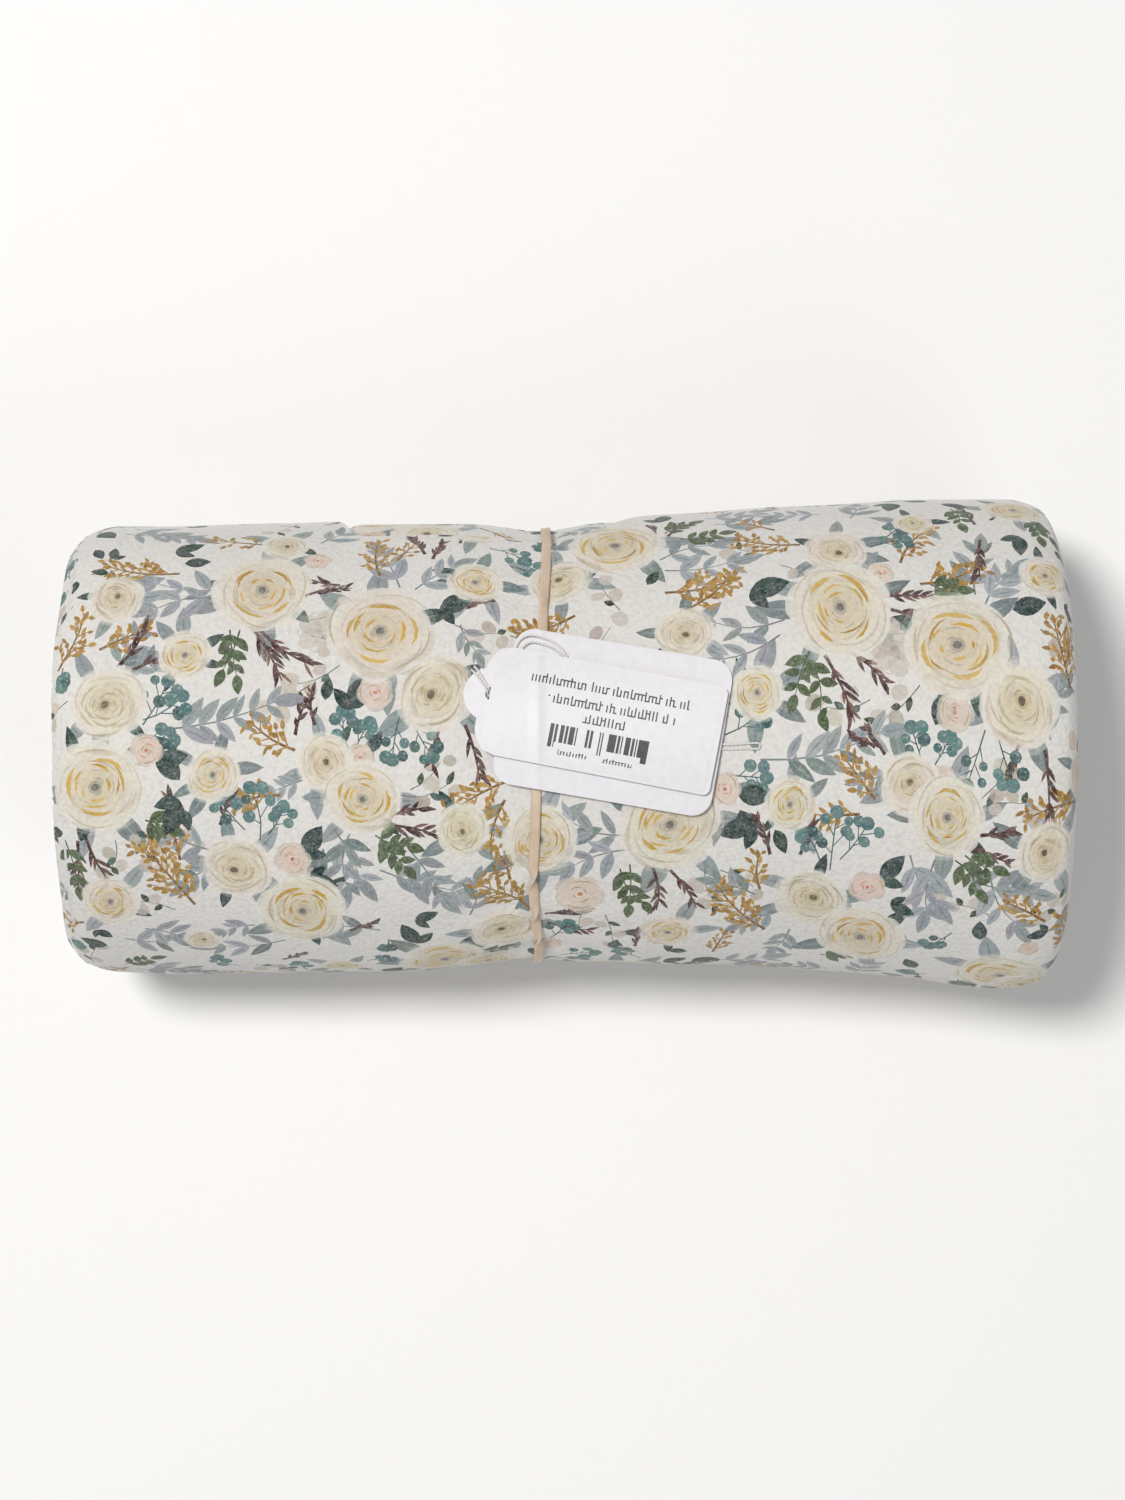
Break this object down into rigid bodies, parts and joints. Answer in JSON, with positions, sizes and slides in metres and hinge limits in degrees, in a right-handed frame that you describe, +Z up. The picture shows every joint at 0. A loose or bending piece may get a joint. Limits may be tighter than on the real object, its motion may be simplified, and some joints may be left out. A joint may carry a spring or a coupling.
{
  "type": "rolled fabric length with strung tags",
  "caption": "Soft roll of folded floral-print knit cloth held at its waist by a rubber band, with two strung card tags lying on top and a plain price label.",
  "frame": {"origin": "middle of the footprint, on the surface that the roll lies on", "axes": "+X along the roll towards its fuller end, +Y across it, +Z up"},
  "size_m": [0.2854, 0.1418, 0.1138],
  "materials": {
    "knit_cloth": "matte",
    "natural_rubber": "satin",
    "tag_card": "matte",
    "cotton_thread": "matte",
    "label_paper": "satin"
  },
  "bodies": {
    "roll": {"rolled_cloth": "knit_cloth", "rubber_band": "natural_rubber", "backing_tag": "tag_card", "backing_tag_string": "cotton_thread", "price_tag_string": "cotton_thread"},
    "lifting_tag": {"price_tag": "tag_card", "price_label": "label_paper"}
  },
  "joints": [
    {"name": "price_tag_lift", "type": "hinge", "parent": "roll", "child": "lifting_tag", "pos_m": [-0.02692, 0.01507, 0.10961], "axis": [-0.1874, -0.9823, 0], "range_deg": [0, 160], "deforming": ["price_tag_string"]}
  ]
}
